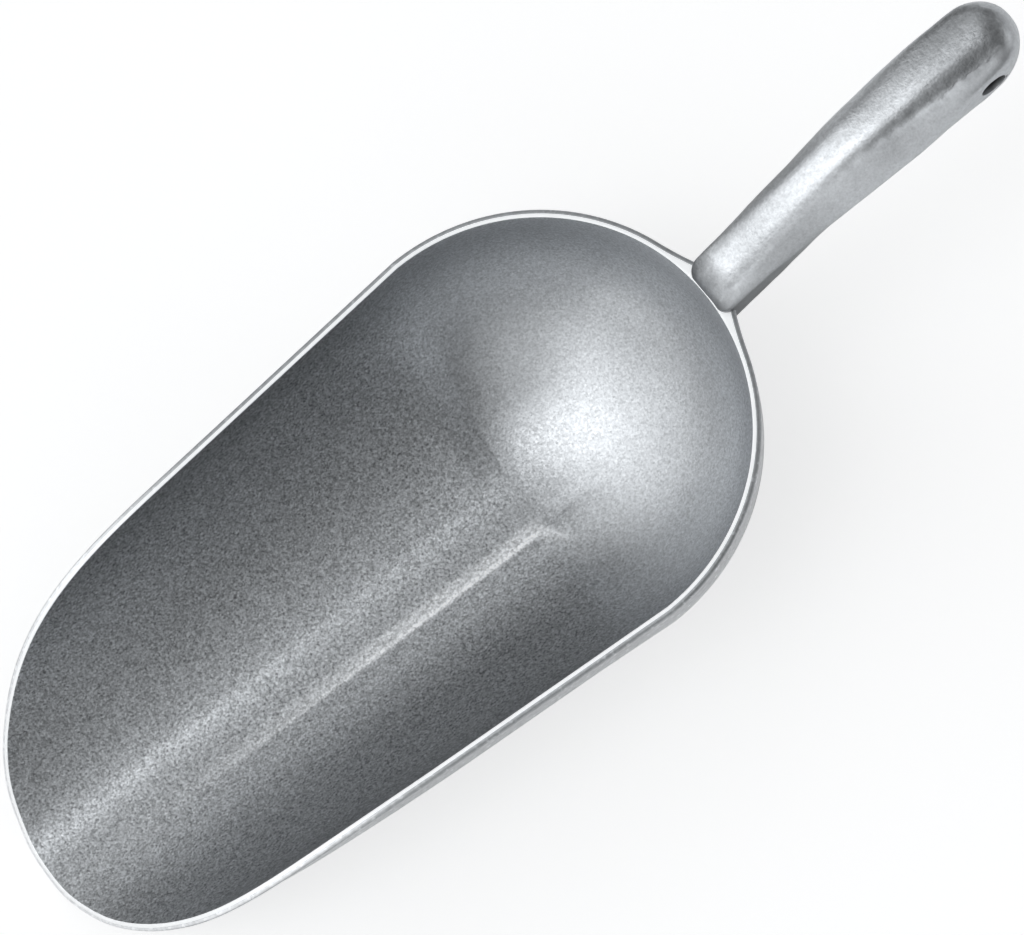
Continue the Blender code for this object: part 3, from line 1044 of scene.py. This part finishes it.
def outside_metal():
    """As-cast outside: a little coarser and duller than the inside; a painted reflection makes
    it paler at a glance.
    """
    n = Material("cast_aluminium_outside")
    grain = n.noise(scale=700.0, detail=3.0, rough=0.6)
    broad = n.noise(scale=45.0, detail=3.0)
    flake, _ = n.cells(scale=1100.0)
    # Painted shade on the rounded corner past the land, and a painted highlight glowing there
    # towards the lip.
    painted_corner_shade = n.attribute("painted_corner_shade")
    plain = n.one_less(n.times(painted_corner_shade, by=0.25))
    value = n.add(n.swing(grain, amount=0.40), plus=0.62)
    value = n.add(value, n.times(n.ramp(flake, lo=0.88, hi=1.0), by=0.20))
    value = n.add(value, n.swing(broad, amount=0.10))
    value = n.times(value, plain)
    n.surface("Base Color", n.grey(value, TINT))
    n.surface("Metallic", 1.0)
    n.surface("Roughness", 0.46)
    # Painted reflection: the wall glows at a glancing angle, as if catching the pale floor.
    facing = n.new("ShaderNodeLayerWeight").outputs["Facing"]
    glance = n.ramp(facing, lo=0.5, hi=0.95, out_hi=GLANCE_GLOW)
    glance = n.times(glance, n.one_less(painted_corner_shade))
    glance = n.add(glance, n.times(n.attribute("pale"), CORNER_GLOW))
    n.glow(n.times(glance, value))
    n.surface("Normal", n.bump(grain, strength=0.30, distance=0.0003))
    return n.mat


def handle_metal():
    """The handle: bright coarse grain on the crown, a smoother flank on the -Y side."""
    n = Material("cast_aluminium_handle_surface")
    coarse = n.attribute("coarse")
    shade = n.attribute("shade")
    grain = n.noise(scale=760.0, detail=3.0, rough=0.7)
    fine = n.noise(scale=1500.0)
    broad = n.noise(scale=150.0, detail=3.0, rough=0.6)

    def by_coarseness(smooth, rugged, hi=1.0):
        return n.ramp(coarse, lo=0.0, hi=hi, out_lo=smooth, out_hi=rugged)

    speck = n.times(n.centred(grain), by_coarseness(smooth=0.28, rugged=0.78, hi=1.8))
    value = n.add(speck, by_coarseness(smooth=0.66, rugged=0.74))
    value = n.add(value, n.swing(fine, amount=0.20))
    value = n.add(value, n.swing(broad, amount=0.12))
    # Painted light and shade from the shade attribute scale the colour.
    value = n.times(value, shade, clamp=True)
    n.surface("Base Color", n.grey(value, TINT))
    n.surface("Metallic", 1.0)
    n.surface("Roughness", by_coarseness(smooth=0.44, rugged=0.38))
    wave = n.times(broad, by_coarseness(smooth=0.25, rugged=0.8))
    height = n.times(n.add(grain, fine), by_coarseness(smooth=0.3, rugged=0.7))
    waves = n.bump(wave, strength=0.22, distance=0.0006)
    n.surface("Normal", n.bump(height, strength=0.35, distance=0.0003, normal=waves))
    return n.mat


def floor_material():
    n = Material("pale_floor")
    mottle = n.ramp(n.noise(scale=3.0), lo=0.3, hi=0.7, out_lo=0.86, out_hi=0.88)
    seen = n.new("ShaderNodeLightPath").outputs["Is Camera Ray"]
    share = n.one_less(n.times(seen, FLOOR_DIM))
    n.surface("Base Color", n.grey(n.times(mottle, share)))
    n.surface("Roughness", 0.8)
    n.surface("Specular IOR Level", 0.1)
    n.glow(n.times(seen, FLOOR_LIFT))
    return n.mat


# ---- build the pieces ------------------------------------------------------------------------
bowl = build_bowl()
for metal in (inside_metal(), land_metal(), outside_metal()):
    bowl.data.materials.append(metal)
bowl.data.shade_smooth()

handle = build_handle()
handle.data.materials.clear()
handle.data.materials.append(handle_metal())
handle.data.shade_smooth()
handle.data.set_sharp_from_angle(angle=math.radians(38))

for piece, node_name in ((bowl, "bowl"), (handle, "handle")):
    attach(piece, "ice_scoop" if "ice_scoop" in frame["bodies"] else "root")
    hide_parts(node_name)

# ---- floor -----------------------------------------------------------------------------------
FLOOR_SIZE = 6.0  # metres, from the middle to an edge
FLOOR_PLACE = (0.07, 0.0, -0.0001)  # just below the scoop

floor_bm = bmesh.new()
bmesh.ops.create_grid(floor_bm, x_segments=2, y_segments=2, size=FLOOR_SIZE)
floor = finish_object("floor", floor_bm)
floor.location = FLOOR_PLACE
floor.data.materials.append(floor_material())

# ---- light -----------------------------------------------------------------------------------
# Soft panels all round: direction to the panel, how tight it is, brightness
PANELS = (
    ((-0.50, 0.77, 0.40), 30.0, 1.63),
    ((-0.35, 0.045, 0.935), 30.0, 2.70),
    ((-0.97, -0.22, 0.08), 30.0, 1.34),
    ((-0.70, 0.39, 0.60), 12.0, 1.10),
    ((0.78, -0.40, 0.48), 30.0, 1.07),
    ((0.18, 0.62, 0.76), 30.0, 1.05),
    ((0.57, 0.82, 0.08), 30.0, 0.90),
    ((-0.46, -0.67, 0.59), 30.0, 0.90),
    ((-0.42, -0.90, 0.11), 30.0, 0.87),
    ((-0.74, 0.12, 0.66), 30.0, 0.83),
    ((-0.72, -0.31, 0.62), 30.0, 0.56),
    ((0.73, 0.01, 0.69), 30.0, 0.46),
    ((-0.93, 0.33, 0.12), 30.0, 0.42),
    ((0.01, -0.34, 0.94), 30.0, 0.41),
)
AMBIENT = 0.112
BACKDROP = 0.98  # what the camera sees instead of the panels
SKY_COLOUR = (0.965, 0.985, 1.0, 1.0)


def build_studio():
    studio = bpy.data.worlds.new("studio")
    studio.use_nodes = True
    n = Nodes(studio.node_tree)
    way = n.new("ShaderNodeTexCoord").outputs["Generated"]
    level = AMBIENT
    for direction, tight, bright in PANELS:
        dot = n.new("ShaderNodeVectorMath", operation="DOT_PRODUCT")
        n.put(dot.inputs[0], way)
        n.put(dot.inputs[1], Vector(direction).normalized())
        falloff = n.calc("MULTIPLY_ADD", dot.outputs["Value"], b=tight, c=-tight)
        lobe = n.calc("EXPONENT", falloff, c=0.0)
        level = n.calc("MULTIPLY_ADD", lobe, b=bright, c=level)
    camera_ray = n.new("ShaderNodeLightPath").outputs["Is Camera Ray"]
    mixed = n.new("ShaderNodeMix", data_type="FLOAT")
    n.put(mixed.inputs[0], camera_ray)
    n.put(mixed.inputs[2], level)
    n.put(mixed.inputs[3], BACKDROP)
    background = n.tree.nodes["Background"]
    n.put(background.inputs["Color"], SKY_COLOUR)
    n.put(background.inputs["Strength"], mixed.outputs[0])
    return studio


scene = bpy.context.scene
scene.view_settings.view_transform = "Standard"
scene.world = build_studio()

# ---- camera ----------------------------------------------------------------------------------
TOWARDS_EYE = (-0.0514, -0.2523, 1.0)  # against the line of sight
EYE_DISTANCE = 1247.72  # millimetres
EYE_OFFSET = (-6.0044, 11.0)  # millimetres along the turned axes
AXES_TURN = 0.0497  # radians about the line of sight
FRAME_COS, FRAME_SIN = 0.7604, 0.6494  # further turn of the frame, back the other way
LENS = 150.7777016  # millimetres


def build_camera():
    back = Vector(TOWARDS_EYE).normalized()
    level_right = (Vector((1.0, 0.0, 0.0)) - back * back.x).normalized()
    level_up = back.cross(level_right)
    turned_right = level_right * math.cos(AXES_TURN) + level_up * math.sin(AXES_TURN)
    turned_up = -level_right * math.sin(AXES_TURN) + level_up * math.cos(AXES_TURN)
    eye = back * EYE_DISTANCE + turned_right * EYE_OFFSET[0] + turned_up * EYE_OFFSET[1]
    right = turned_right * FRAME_COS - turned_up * FRAME_SIN
    up = turned_right * FRAME_SIN + turned_up * FRAME_COS

    data = bpy.data.cameras.new("camera")
    data.sensor_fit = "HORIZONTAL"
    data.sensor_width = 36.0
    data.lens = LENS
    data.clip_start = 0.05
    data.clip_end = 50.0
    camera = bpy.data.objects.new("camera", data)
    scene.collection.objects.link(camera)
    place = Matrix((right, up, back)).transposed().to_4x4()
    place.translation = Vector(world(eye))
    camera.matrix_world = place
    return camera


scene.camera = build_camera()
